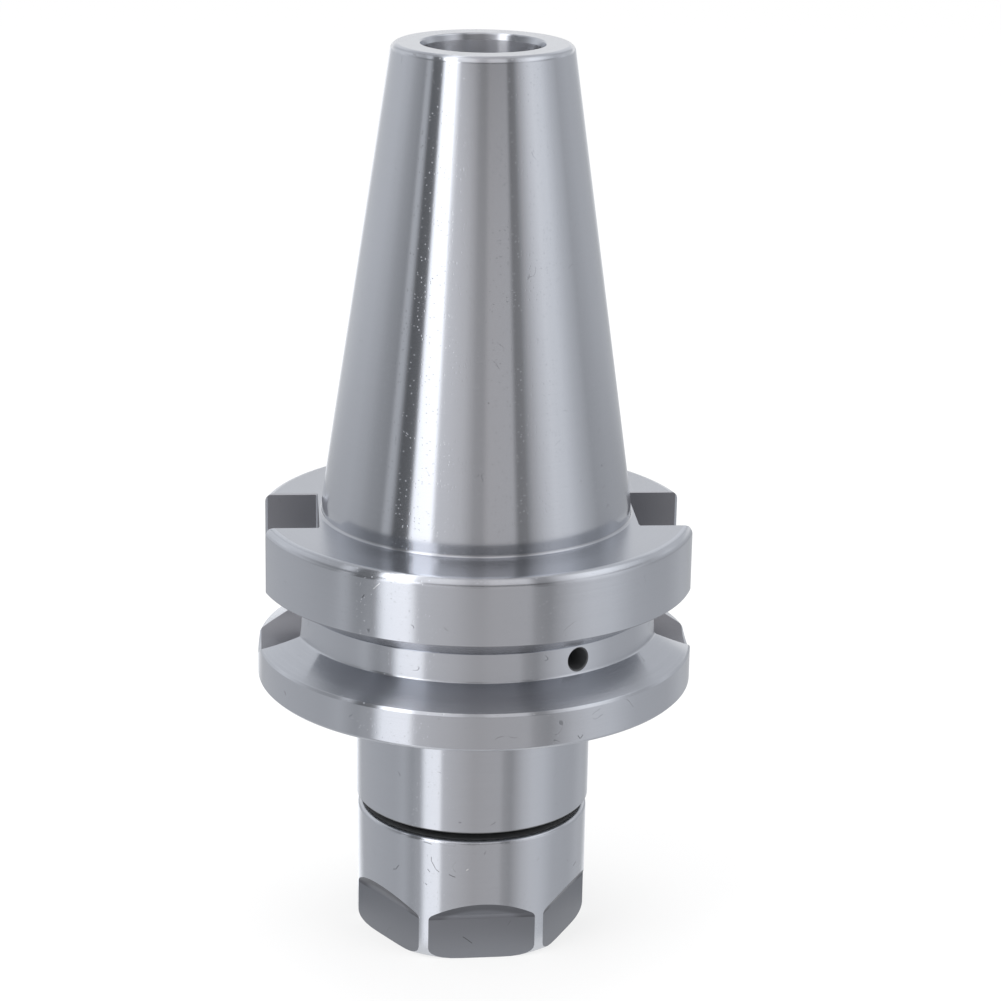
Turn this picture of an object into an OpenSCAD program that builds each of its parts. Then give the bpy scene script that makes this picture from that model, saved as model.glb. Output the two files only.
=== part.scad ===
// Collet chuck holder: a steep-taper spindle holder with a grooved flange and two drive slots.
// Its nose takes a slotted collet, which a threaded clamping nut closes on the tool.
// Zero is the gauge line on the axis. +Z points to the taper's small end, +X to a drive slot.

/* [Taper] */
// Diameter at the gauge line
gauge_d = 44.45; // [42:0.05:44.8]
// Length from the gauge line to the small end
taper_len = 65.4; // [55:0.1:75]
// Fall of the diameter over one taper run
taper_fall = 7; // [5:0.5:8]
// Length over which the diameter falls that much
taper_run = 24; // [22:1:30]
// Chamfer at the small end
top_chamfer = 0.55; // [0.2:0.05:1.5]
// Straight collar between the gauge line and the flange
collar_h = 2; // [1:0.1:4]
// Bevel where the collar meets the flange
collar_bevel = 0.3; // [0.1:0.05:0.4]

/* [Pull stud hole] */
// Diameter of the plain pilot bore
pilot_d = 17; // [16.6:0.1:19]
// Depth of the pilot bore
pilot_depth = 8; // [4:0.5:12]
// How far the lead-in widens the pilot bore's mouth, in radius
pilot_widening = 0.25; // [0.1:0.05:1]
// Length of that lead-in
pilot_lead = 0.9; // [0.2:0.1:1.5]
// Root diameter of the thread for the pull stud
stud_thread_d = 16; // [14:0.5:16]
// Length of that thread
stud_thread_len = 24; // [16:1:32]
// Bevel into the thread
stud_thread_bevel = 0.2; // [0.1:0.05:0.25]
// Diameter of the hole that runs on to the collet
through_d = 10; // [7:0.5:11]
// Half angle of the drilled ends of the thread and of the socket
drill_angle = 59; // [45:1:70]

/* [Flange] */
// Outer diameter of the flange
flange_d = 63; // [61:0.5:70]
// Thickness of the flange
flange_h = 25; // [23.5:0.5:32]
// Chamfer of the top edge
flange_top_chamfer = 0.8; // [0.2:0.1:1.5]
// Chamfer of the lower edge
flange_low_chamfer = 0.5; // [0.2:0.1:1]
// Middle of the gripper groove, measured down from the gauge line
groove_drop = 16.6; // [15:0.1:17.5]
// Width of the gripper groove at the outer diameter
groove_mouth = 10; // [8.5:0.1:11]
// Depth of the gripper groove
groove_depth = 5; // [3.5:0.1:5.5]
// Slope of its two sides, measured from the flange's faces
groove_slope = 30; // [25:1:35]
// Broken edge on both sides of the groove's mouth
groove_edge = 0.25; // [0.1:0.05:0.5]

/* [Drive slots] */
// Width of each slot
slot_w = 16.1; // [14:0.1:18]
// Distance from the axis to the slot's floor
slot_floor = 22.7; // [22.6:0.1:25]
// Lowest point of the round slot end, measured down from the gauge line
slot_drop = 22.9; // [19:0.1:24]
// Bevel of the slots' long edges on the flange's rim and in the groove
slot_edge = 0.45; // [0.1:0.05:0.6]
// Bevel of their edges on the flange's top
slot_top_edge = 0.2; // [0.1:0.05:0.6]
// Bevel left in the corners of the slot's floor
slot_root = 0.25; // [0.1:0.05:0.5]

/* [Marker hole] */
// Diameter of the small blind hole in the groove's floor
marker_d = 3.2; // [1:0.1:3.6]
// Depth of its straight part
marker_depth = 9; // [3:0.5:11]
// Angle of the hole about the axis
marker_angle = -61; // [-75:1:-45]
// Chamfer at its mouth
marker_chamfer = 0.2; // [0.05:0.05:0.25]

/* [Nose] */
// Diameter of the nose
nose_d = 34.2; // [32:0.1:38]
// Shoulder in front of the nut, measured down from the gauge line
nose_drop = 45.4; // [36:0.1:60]
// Bevel where the nose leaves the flange
nose_root = 0.8; // [0.2:0.1:2]
// Radius of the shoulder's edge
nose_edge = 0.4; // [0.1:0.05:0.8]
// Length of the threaded end below the shoulder
spigot_len = 13.2; // [12:0.1:16]
// Length of the relief behind the thread
relief_len = 2.4; // [1.5:0.1:3]
// Depth of the relief below the thread's root
relief_depth = 0.25; // [0.1:0.05:0.4]
// Chamfer at the end of the thread
spigot_chamfer = 0.6; // [0.2:0.05:0.7]

/* [Nut thread] */
// Outer diameter of the thread
thread_d = 25; // [24.6:0.1:27]
// Pitch of the thread
thread_pitch = 1.5; // [1:0.25:1.5]
// Depth of the thread for each millimetre of its pitch
thread_depth = 0.6134; // [0.55:0.01:0.65]

/* [Collet] */
// Diameter of the collet's cone at the nose's end face
collet_d = 21; // [19:0.1:21.2]
// Half angle of that cone
collet_angle = 8; // [7:0.5:9]
// Whole length of the collet
collet_len = 31.5; // [26:0.5:33]
// Length that stands out of the nose
collet_proud = 6.4; // [6:0.1:6.6]
// Half angle of the front cone, which the nut presses on
front_angle = 30; // [28:1:32]
// Length of the front cone
front_len = 3.2; // [2.6:0.1:3.4]
// Largest diameter of the front cone
front_d = 20.9; // [20.4:0.1:21]
// Width of the extraction groove
snap_w = 1.8; // [1.4:0.1:2]
// Diameter at the bottom of that groove
snap_d = 18.6; // [17:0.1:18.8]
// Bore for the tool's shank
tool_d = 10; // [3:0.5:11]
// Number of slits from each end
slits = 8; // [4:1:10]
// Width of a slit
slit_w = 0.6; // [0.3:0.05:0.7]
// Solid length left at the end of a front slit
front_slit_stop = 5; // [3:0.5:8]
// Solid length left at the end of a rear slit
rear_slit_stop = 8.5; // [7:0.5:12]
// Space behind the collet in its socket
socket_spare = 3.9; // [2:0.1:5]

/* [Nut] */
// Outer diameter of the nut
nut_d = 33.8; // [33:0.1:36]
// Length of the nut
nut_len = 19.2; // [18.6:0.1:22]
// Gap between the nose's shoulder and the nut
nut_gap = 1.3; // [0.8:0.1:1.6]
// Radius of the rear edge
nut_rear_edge = 0.7; // [0.2:0.1:1.5]
// Radius of the front edge
nut_front_edge = 1.7; // [0.5:0.1:2]
// Number of wrench flats
flats = 6; // [4:2:8]
// Distance across two opposite flats
across_flats = 30; // [29:0.1:31]
// Height of the flats above the nut's front face
flat_h = 6.7; // [5:0.1:9]
// Angle of the cutter's run-out above a flat, measured from the axis
runout_angle = 36; // [30:1:45]
// Radius between a flat and its run-out
runout_radius = 1.5; // [0.5:0.1:2]
// Angle of one flat about the axis
flat_angle = -87.6; // [-120:0.1:-60]
// Diameter of the nut's front opening
mouth_d = 17.5; // [17.3:0.1:18.5]
// Chamfer of the front opening
mouth_chamfer = 0.4; // [0.1:0.05:0.6]
// Diameter of the bore through the extraction lip
lip_d = 20.5; // [20.4:0.1:20.6]
// Distance of that bore from the axis
lip_offset = 0.65; // [0.5:0.05:0.7]
// Chamfer where the thread starts
thread_lead = 0.6; // [0.2:0.1:1]

/* [Fits] */
// Clearance around the collet in its socket
socket_clear = 0.04; // [0.02:0.01:0.08]
// Clearance between the collet's front cone and the nut
cone_clear = 0.05; // [0.02:0.01:0.1]
// Clearance of the thread outside the nose's thread
thread_clear = 0.05; // [0.02:0.01:0.1]
// Clearance between the extraction lip and its groove
lip_clear = 0.15; // [0.05:0.05:0.2]
// Clearance around and below the end of the nose inside the nut
cavity_clear = 0.3; // [0.15:0.05:0.4]

/* [Hidden] */
$fn = 96;
spare = 1;

// Taper and pull stud hole
taper_slope = taper_fall / taper_run / 2;
gauge_r = gauge_d / 2;
small_r = gauge_r - taper_len * taper_slope;
pilot_r = pilot_d / 2;
pilot_end = taper_len - pilot_depth;
stud_r = stud_thread_d / 2;
stud_end = pilot_end - stud_thread_len;
through_r = through_d / 2;

// Flange
flange_r = flange_d / 2;
flange_top = -collar_h;
flange_low = flange_top - flange_h;
groove_r = flange_r - groove_depth;
groove_half = groove_mouth / 2;
groove_half_floor = groove_half - groove_depth * tan(groove_slope);
groove_edge_fall = groove_edge * tan(groove_slope);
slot_round = -slot_drop + slot_w / 2;
slot_corner = sqrt(pow(flange_r, 2) - pow(slot_w / 2, 2));

// Nose, its thread and the socket
nose_r = nose_d / 2;
nose_end = -nose_drop;
spigot_end = nose_end - spigot_len;
thread_root_r = thread_d / 2 - thread_depth * thread_pitch;
relief_r = thread_root_r - relief_depth;
relief_end = nose_end - relief_len;
mouth_r = collet_d / 2;
socket_top = spigot_end + collet_len - collet_proud + socket_spare;
socket_top_r = mouth_r - (socket_top - spigot_end) * tan(collet_angle);

// Collet
collet_front = spigot_end - collet_proud;
collet_rear = collet_front + collet_len;
front_r = front_d / 2;
snap_low = collet_front + front_len;
snap_high = snap_low + snap_w;
tip_r = front_r - front_len * tan(front_angle);

// Nut
nut_r = nut_d / 2;
nut_rear = nose_end - nut_gap;
nut_front = nut_rear - nut_len;
nut_thread_r = thread_d / 2 + thread_clear;
nut_thread_end = spigot_end - cavity_clear;
lip_high = snap_high - lip_clear;
lip_low = snap_low + lip_clear;
cavity_r = mouth_r + collet_proud * tan(collet_angle) - cavity_clear;
seat_r = front_r + cone_clear / cos(front_angle);
mouth_top = snap_low - (seat_r - mouth_d / 2) / tan(front_angle);

// Radius of the collet's cone at height z, before its clearance
function cone_r(z) = mouth_r - (z - spigot_end) * tan(collet_angle);

// Points of an arc about c, from angle a to angle b
function arc(c, r, a, b, steps) =
    [for (i = [0:steps]) c + r * [cos(a + (b - a) * i / steps), sin(a + (b - a) * i / steps)]];

// What rounding an outer corner takes off: in points from the corner into the material
module round_off(corner, r, in) {
    translate([corner[0] + r * in[0], corner[1] + r * in[1]])
        difference() {
            translate([in[0] > 0 ? -r - spare : 0, in[1] > 0 ? -r - spare : 0])
                square(r + spare);
            circle(r);
        }
}

// One drive slot, towards +X: straight walls and a round lower end
module drive_slot() {
    half = slot_w / 2;
    reach = flange_r - slot_floor + spare;
    rise = flange_top - slot_round + spare;
    translate([slot_floor + slot_root, 0, 0])
        rotate([90, 0, 90])
            linear_extrude(reach - slot_root)
                union() {
                    translate([0, slot_round]) circle(r = half);
                    translate([-half, slot_round]) square([slot_w, rise]);
                }
    translate([slot_floor, 0, slot_round]) {
        rotate([0, 90, 0]) cylinder(r1 = half - slot_root, r2 = half, h = slot_root);
        linear_extrude(rise)
            polygon([[0, slot_root - half], [slot_root, -half], [slot_root, half], [0, half - slot_root]]);
    }
}

// The broken edges of one drive slot
module drive_slot_edges() {
    half = slot_w / 2;
    reach = flange_r - slot_floor + spare;
    translate([flange_r - slot_edge, 0, slot_round])
        rotate([0, 90, 0])
            cylinder(r1 = half, r2 = half + slot_edge + spare, h = slot_edge + spare);
    for (side = [-1, 1]) {
        translate([slot_corner, side * half, slot_round])
            cylinder(r = slot_edge, h = flange_top - slot_round + spare, $fn = 4);
        translate([slot_floor, side * half, flange_top])
            rotate([0, 90, 0])
                cylinder(r = slot_top_edge, h = reach, $fn = 4);
    }
}

module marker_hole() {
    point_h = marker_d / 2 / tan(drill_angle);
    rotate([0, 0, marker_angle])
        translate([groove_r, 0, -groove_drop])
            rotate([0, -90, 0])
                union() {
                    translate([0, 0, -spare]) cylinder(d = marker_d, h = marker_depth + spare);
                    translate([0, 0, marker_depth]) cylinder(d1 = marker_d, d2 = 0, h = point_h);
                    translate([0, 0, -marker_chamfer])
                        cylinder(r1 = marker_d / 2 + 2 * marker_chamfer, r2 = marker_d / 2,
                                 h = 2 * marker_chamfer);
                }
}

module holder_outline() {
    difference() {
        polygon([
            [0, taper_len],
            [small_r - top_chamfer, taper_len],
            [small_r + top_chamfer * taper_slope, taper_len - top_chamfer],
            [gauge_r, 0],
            [gauge_r, flange_top + collar_bevel],
            [gauge_r + collar_bevel, flange_top],
            [flange_r - flange_top_chamfer, flange_top],
            [flange_r, flange_top - flange_top_chamfer],
            [flange_r, -groove_drop + groove_half + groove_edge],
            [flange_r - groove_edge, -groove_drop + groove_half - groove_edge_fall],
            [groove_r, -groove_drop + groove_half_floor],
            [groove_r, -groove_drop - groove_half_floor],
            [flange_r - groove_edge, -groove_drop - groove_half + groove_edge_fall],
            [flange_r, -groove_drop - groove_half - groove_edge],
            [flange_r, flange_low + flange_low_chamfer],
            [flange_r - flange_low_chamfer, flange_low],
            [nose_r + nose_root, flange_low],
            [nose_r, flange_low - nose_root],
            [nose_r, nose_end],
            [relief_r, nose_end],
            [relief_r, relief_end + relief_depth],
            [thread_root_r, relief_end],
            [thread_root_r, spigot_end + spigot_chamfer],
            [thread_root_r - spigot_chamfer, spigot_end],
            [0, spigot_end],
        ]);
        round_off([nose_r, nose_end], nose_edge, [-1, 1]);
    }
}

module holder_hollow() {
    polygon([
        [0, taper_len + spare],
        [pilot_r + pilot_widening * (1 + spare / pilot_lead), taper_len + spare],
        [pilot_r, taper_len - pilot_lead],
        [pilot_r, pilot_end],
        [stud_r + stud_thread_bevel, pilot_end],
        [stud_r, pilot_end - stud_thread_bevel],
        [stud_r, stud_end],
        [through_r, stud_end - (stud_r - through_r) / tan(drill_angle)],
        [through_r, socket_top + (socket_top_r - through_r) / tan(drill_angle)],
        [socket_top_r, socket_top],
        [mouth_r + spare * tan(collet_angle), spigot_end - spare],
        [0, spigot_end - spare],
    ]);
}

module holder_body() {
    color("silver")
        difference() {
            rotate_extrude()
                difference() {
                    holder_outline();
                    holder_hollow();
                }
            for (side = [0, 180])
                rotate([0, 0, side]) {
                    drive_slot();
                    drive_slot_edges();
                }
            marker_hole();
        }
}

module collet_blank() {
    rotate_extrude()
        polygon([
            [tool_d / 2, collet_front],
            [tip_r, collet_front],
            [front_r, snap_low],
            [snap_d / 2, snap_low],
            [snap_d / 2, snap_high],
            [cone_r(snap_high) - socket_clear, snap_high],
            [cone_r(collet_rear) - socket_clear, collet_rear],
            [tool_d / 2, collet_rear],
        ]);
}

// Slits run in from both ends in turn, so that the whole cone closes evenly
module collet() {
    step = 360 / slits;
    slit_reach = mouth_r + spare;
    color("gray")
        difference() {
            collet_blank();
            for (i = [0:slits - 1]) {
                rotate([0, 0, i * step])
                    translate([0, -slit_w / 2, collet_front - spare])
                        cube([slit_reach, slit_w, collet_len - front_slit_stop + spare]);
                rotate([0, 0, (i + 0.5) * step])
                    translate([0, -slit_w / 2, collet_front + rear_slit_stop])
                        cube([slit_reach, slit_w, collet_len - rear_slit_stop + spare]);
            }
        }
}

module nut_outline() {
    difference() {
        translate([0, nut_front]) square([nut_r, nut_len]);
        round_off([nut_r, nut_rear], nut_rear_edge, [-1, -1]);
        round_off([nut_r, nut_front], nut_front_edge, [-1, 1]);
    }
}

module nut_hollow() {
    polygon([
        [0, nut_rear + spare],
        [nut_thread_r + thread_lead + spare, nut_rear + spare],
        [nut_thread_r, nut_rear - thread_lead],
        [nut_thread_r, nut_thread_end],
        [cavity_r, nut_thread_end],
        [cavity_r, lip_high],
        [lip_d / 2 - lip_offset, lip_high],
        [lip_d / 2 - lip_offset, lip_low],
        [seat_r + lip_clear * tan(front_angle), lip_low],
        [mouth_d / 2, mouth_top],
        [mouth_d / 2, nut_front + mouth_chamfer],
        [mouth_d / 2 + mouth_chamfer + spare, nut_front - spare],
        [0, nut_front - spare],
    ]);
}

// What the milling cutter takes off for one flat, with its sloping run-out at the top
module flat_cut() {
    flat_x = across_flats / 2;
    flat_top = nut_front + flat_h;
    tangent = runout_radius * tan(runout_angle / 2);
    centre = [flat_x + runout_radius, flat_top - tangent];
    reach = nut_r - flat_x + spare;
    translate([0, nut_r, 0])
        rotate([90, 0, 0])
            linear_extrude(nut_d)
                polygon(concat(
                    [[flat_x, nut_front - spare]],
                    arc(centre, runout_radius, 180, 180 - runout_angle, 6),
                    [[flat_x + reach, flat_top + reach / tan(runout_angle)],
                     [flat_x + reach, nut_front - spare]]));
}

module clamping_nut() {
    color("lightsteelblue")
        difference() {
            rotate_extrude()
                difference() {
                    nut_outline();
                    nut_hollow();
                }
            translate([lip_offset, 0, lip_low]) cylinder(d = lip_d, h = lip_high - lip_low);
            for (i = [0:flats - 1])
                rotate([0, 0, flat_angle + i * 360 / flats]) flat_cut();
        }
}

holder_body();
collet();
clamping_nut();
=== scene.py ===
import math

import bmesh
import bpy
from mathutils import Matrix, Vector


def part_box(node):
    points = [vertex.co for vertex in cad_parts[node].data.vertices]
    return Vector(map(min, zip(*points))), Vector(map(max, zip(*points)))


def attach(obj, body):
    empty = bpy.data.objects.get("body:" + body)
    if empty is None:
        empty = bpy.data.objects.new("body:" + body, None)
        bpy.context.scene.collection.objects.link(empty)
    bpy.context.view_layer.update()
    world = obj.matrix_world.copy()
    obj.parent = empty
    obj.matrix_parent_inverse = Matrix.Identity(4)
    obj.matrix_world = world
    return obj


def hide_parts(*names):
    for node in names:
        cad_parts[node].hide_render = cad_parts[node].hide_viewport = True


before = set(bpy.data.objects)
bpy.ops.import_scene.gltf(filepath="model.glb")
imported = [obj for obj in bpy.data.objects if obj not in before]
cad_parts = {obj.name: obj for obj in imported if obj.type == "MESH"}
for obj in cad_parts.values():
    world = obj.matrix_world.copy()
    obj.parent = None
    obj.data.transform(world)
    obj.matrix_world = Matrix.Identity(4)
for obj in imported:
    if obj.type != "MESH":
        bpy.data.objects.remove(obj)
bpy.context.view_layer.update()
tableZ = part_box("clamping_nut")[0].z
mm = 0.001

shot = {  # the photograph's camera, turned about the holder's axis
    "size": 1001,  # pixels
    "focal": 3037.27,  # pixels
    "away": 0.41767,
    "above": 0.130765,
    "down": 17.465,  # degrees, as the three below
    "right": 0.478,
    "roll": 1.005,
    "turn": -4.121,
    "sensor": 36.0,
}


def inShot(x, y, z):  # a point given with -Y towards the camera
    return Matrix.Rotation(math.radians(shot["turn"]), 3, "Z") @ Vector((x, y, z))


def addCamera():
    down, right, roll = (math.radians(shot[key]) for key in ("down", "right", "roll"))
    ahead = Vector((math.sin(right) * math.cos(down), math.cos(right) * math.cos(down), -math.sin(down)))
    level = Vector((math.cos(right), -math.sin(right), 0))
    upright = level.cross(ahead)
    side = math.cos(roll) * level + math.sin(roll) * upright
    top = -math.sin(roll) * level + math.cos(roll) * upright
    pose = Matrix((side, top, -ahead)).transposed().to_4x4()
    pose.translation = (0, -shot["away"], shot["above"])
    data = bpy.data.cameras.new("photo_camera")
    data.sensor_width = shot["sensor"]
    data.lens = shot["focal"] / shot["size"] * shot["sensor"]
    data.clip_start = 0.01
    camera = bpy.data.objects.new("photo_camera", data)
    camera.matrix_world = Matrix.Rotation(math.radians(shot["turn"]), 4, "Z") @ pose
    bpy.context.scene.collection.objects.link(camera)
    bpy.context.scene.camera = camera


# Small helpers for meshes and node trees

def connect(tree, value, socket):  # a socket is linked, a number or colour is written in
    if isinstance(value, bpy.types.NodeSocket):
        tree.links.new(value, socket)
    else:
        socket.default_value = value


def addNode(tree, kind, values=(), **settings):
    node = tree.nodes.new(kind)
    for key, value in settings.items():
        setattr(node, key, value)
    for key, value in dict(values).items():
        connect(tree, value, node.inputs[key])
    return node


def calc(tree, operation, first, second=0.0, third=0.0, clamp=False):
    numbers = {0: first, 1: second, 2: third}
    return addNode(tree, "ShaderNodeMath", numbers, operation=operation, use_clamp=clamp).outputs[0]


def remap(tree, value, low, high, toLow=0.0, toHigh=1.0, kind="LINEAR"):
    ends = {"Value": value, "From Min": low, "From Max": high, "To Min": toLow, "To Max": toHigh}
    return addNode(tree, "ShaderNodeMapRange", ends, interpolation_type=kind).outputs["Result"]


def objectPoint(tree):
    return addNode(tree, "ShaderNodeTexCoord").outputs["Object"]


def split(tree, vector):
    return addNode(tree, "ShaderNodeSeparateXYZ", {0: vector}).outputs


def fromAxis(tree, x, y):
    return calc(tree, "SQRT", calc(tree, "MULTIPLY_ADD", x, x, calc(tree, "MULTIPLY", y, y)))


def grey(level):
    return (level, level, level, 1)


def blendColours(tree, share, first, second, kind="MIX"):
    colours = {0: share, 6: first, 7: second}
    return addNode(tree, "ShaderNodeMix", colours, data_type="RGBA", blend_type=kind).outputs[2]


def shaded(tree, colour, factor):  # a colour times a number or another colour
    return blendColours(tree, 1.0, colour, factor, "MULTIPLY")


def ramp(tree, share, stops):
    node = addNode(tree, "ShaderNodeValToRGB", {0: share})
    elements = node.color_ramp.elements
    while len(elements) < len(stops):
        elements.new(0.5)
    for element, (position, colour) in zip(elements, stops):
        element.position = position
        element.color = colour
    return node.outputs["Color"]


def fullTurn(n):  # the angles of n points round a circle
    return [2 * math.pi * i / n for i in range(n)]


def bands(rows, n):  # the faces between rings of n points
    return [(row * n + i, row * n + (i + 1) % n, (row + 1) * n + (i + 1) % n, (row + 1) * n + i)
            for row in range(rows - 1) for i in range(n)]


def meshObject(name, points, faces):
    mesh = bpy.data.meshes.new(name)
    mesh.from_pydata([tuple(point) for point in points], [], faces)
    mesh.update()
    thing = bpy.data.objects.new(name, mesh)
    bpy.context.scene.collection.objects.link(thing)
    return thing


def settle(thing):  # what the modifiers show becomes the mesh
    shown = thing.evaluated_get(bpy.context.evaluated_depsgraph_get())
    mesh = bpy.data.meshes.new_from_object(shown)
    thing.modifiers.clear()
    thing.data = mesh
    mesh.name = thing.name


def emptyMaterial(name):
    material = bpy.data.materials.new(name)
    material.use_nodes = True
    material.node_tree.nodes.clear()
    return material, material.node_tree


# Studio: a pale floor, a white world, and a screen round the holder that only its steel sees

def seenWhite(tree):  # 1 for what the camera, metal and glass see directly
    path = addNode(tree, "ShaderNodeLightPath")
    seen = calc(tree, "MAXIMUM", path.outputs["Is Camera Ray"], path.outputs["Is Glossy Ray"])
    return calc(tree, "MAXIMUM", seen, path.outputs["Is Transmission Ray"])


worldLook = {"seen": 1.0, "fill": 0.7}  # brightness where it is seen, and as light on dull surfaces


def addWorld():
    world = bpy.data.worlds.new("studio")
    bpy.context.scene.world = world
    world.use_nodes = True
    tree = world.node_tree
    tree.nodes.clear()
    white, fill = (addNode(tree, "ShaderNodeBackground", {"Color": grey(1), "Strength": worldLook[key]})
                   for key in ("seen", "fill"))
    sides = {0: seenWhite(tree), 1: fill.outputs[0], 2: white.outputs[0]}
    mix = addNode(tree, "ShaderNodeMixShader", sides)
    addNode(tree, "ShaderNodeOutputWorld", {0: mix.outputs[0]})


floorLook = {"half": 3.0, "colour": 0.88, "glow": 0.72, "fadeFrom": 0.3, "fadeTo": 1.1}  # white far away


def addFloor():
    half = floorLook["half"]
    corners = [(x, y, tableZ) for x, y in ((-half, -half), (half, -half), (half, half), (-half, half))]
    floor = meshObject("floor", corners, [(0, 1, 2, 3)])
    material, tree = emptyMaterial("pale_floor")
    paper = addNode(tree, "ShaderNodeBsdfDiffuse", {"Color": grey(floorLook["colour"])})
    glow = addNode(tree, "ShaderNodeEmission", {"Color": grey(1), "Strength": 1.0})
    away = addNode(tree, "ShaderNodeVectorMath", {0: objectPoint(tree)}, operation="LENGTH")
    fade = [floorLook[key] for key in ("fadeFrom", "fadeTo", "glow")]
    white = calc(tree, "MULTIPLY", seenWhite(tree), remap(tree, away.outputs["Value"], *fade, 1.0))
    mix = addNode(tree, "ShaderNodeMixShader", {0: white, 1: paper.outputs[0], 2: glow.outputs[0]})
    addNode(tree, "ShaderNodeOutputMaterial", {0: mix.outputs[0]})
    floor.data.materials.append(material)


screen = {
    "segments": 96,
    "table": [0.021, 0.1, 0.3, 0.6, 1.2],  # radii in metres, from just outside the nut to the wall
    "lift": 0.0004,
    "rise": [0, 4, 8, 12, 16, 20, 25, 30, 38, 46, 55, 65, 75, 84],  # degrees of the dome's rows
    "brightest": 4.0,
    "cool": {"from": 4, "over": 35, "red": (1.03, -0.045), "blue": (1.0, 0.035)},  # towards the sides
    "taperTurn": 1.945,  # a wall point lies this many times as far round as the taper that shows it faces
    "wallRise": 8,  # degrees over which the taper's rule gives way to the half way rule
    "nutShare": (0.15, 0.8),  # the least and the most that the nut's radius counts near the axis
    "tableEnd": (-16, -13.5),  # rise in degrees, as the light goes from the table to the wall
    "topLean": (54, 59),  # lean in degrees, as it goes from the wall to overhead
    "front": (2.3, 2.1),  # radians round the axis, as the bounce ends
    "back": (2.3, 2.7),  # and as the strip behind begins
    # Levels by the direction that steel faces, in degrees to the right of the camera: on the table for
    # upright faces, on the wall for the taper, and overhead for faces that look up
    "tableLevels": [
        (-90, 1.35), (-85, 1.15), (-80, 0.81), (-75, 0.55), (-70, 0.58), (-60, 0.57), (-42, 0.54),
        (-36, 0.58), (-33, 0.5), (-30.5, 0.46), (-28.5, 0.53), (-26.4, 0.5), (-25.2, 0.8), (-23.4, 1.28),
        (-16, 1.3), (-14.6, 0.7), (-10, 0.64), (-4, 0.58), (1, 0.52), (14, 0.55), (15.5, 0.46),
        (19.5, 0.39), (21, 0.45), (26, 0.64), (31, 0.74), (37, 0.73), (46, 0.57), (60, 0.53), (70, 0.6),
        (78, 0.54), (84, 0.64), (90, 0.9),
    ],
    "wallLevels": [
        (-90, 0.88), (-80, 0.52), (-56, 0.54), (-49, 0.49), (-44, 0.4), (-37.5, 0.33), (-35.5, 0.57),
        (-33.5, 0.54), (-31.2, 0.13), (-26.5, 0.16), (-25.4, 0.25), (-24.2, 1.6), (-16.6, 1.7),
        (-15.2, 0.72), (-12, 0.78), (-6, 0.69), (-3.6, 0.58), (-1, 0.44), (2, 0.42), (4.5, 0.56),
        (14, 0.56), (15.8, 0.25), (19, 0.27), (21.5, 0.46), (26, 0.69), (31, 0.85), (37, 0.8), (44, 0.58),
        (51, 0.42), (62, 0.45), (80, 0.43), (90, 0.54),
    ],
    "topLevels": [
        (-90, 0.85), (-58, 0.86), (-52, 0.7), (-45, 0.62), (-36, 0.6), (-27, 0.6), (-22.5, 0.7),
        (-21, 2.0), (-15, 2.2), (-13, 0.9), (-8, 0.75), (14, 0.6), (22, 0.7), (46, 0.7), (52, 0.72),
        (58, 0.86), (90, 0.85),
    ],
    # What the flange's top shows of the collar comes from a band of the wall, between two rises in degrees
    "bounceLevels": [
        (-90, 0.9), (-60, 0.88), (-51, 0.6), (-43, 0.33), (-36, 0.25), (-28, 0.22), (-24, 0.25),
        (-22.5, 2.2), (-14.6, 2.1), (-13, 0.5), (-7, 0.25), (0, 0.13), (14, 0.14), (18, 0.15),
        (22, 0.46), (28, 0.84), (36, 0.7), (43, 0.44), (51, 0.5), (60, 0.8), (90, 0.9),
    ],
    "bounceRise": {"low": 11.5, "high": 26.0, "soft": 1.5},
    "behind": {"level": 1.0, "low": 5.0, "high": 13.0, "soft": 2.0},  # a strip behind, for the top end
    # How bright the wall's levels are for steel that leans back by so many degrees
    "lean": [
        (0, 1.0), (9, 1.0), (14, 1.3), (24, 1.3), (29, 1.45), (40, 1.5), (52, 1.6), (57, 0.6), (90, 0.6),
    ],
}


def tinted(angle, level):
    cool = screen["cool"]
    share = min(1.0, abs(angle - cool["from"]) / cool["over"])
    red, blue = (start + more * share for start, more in (cool["red"], cool["blue"]))
    return [level / screen["brightest"] * part for part in (red, 1.0, blue, 1)]


def levelRamp(tree, levels, share):  # from -90 to 90 degrees
    return ramp(tree, share, [((angle + 90) / 180, tinted(angle, level)) for angle, level in levels])


def inBand(tree, value, band):  # 1 between the band's two ends, which are soft
    low, high, soft = band["low"], band["high"], band["soft"]
    above = remap(tree, value, low - soft, low)
    return calc(tree, "MULTIPLY", above, remap(tree, value, high + soft, high))


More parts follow.
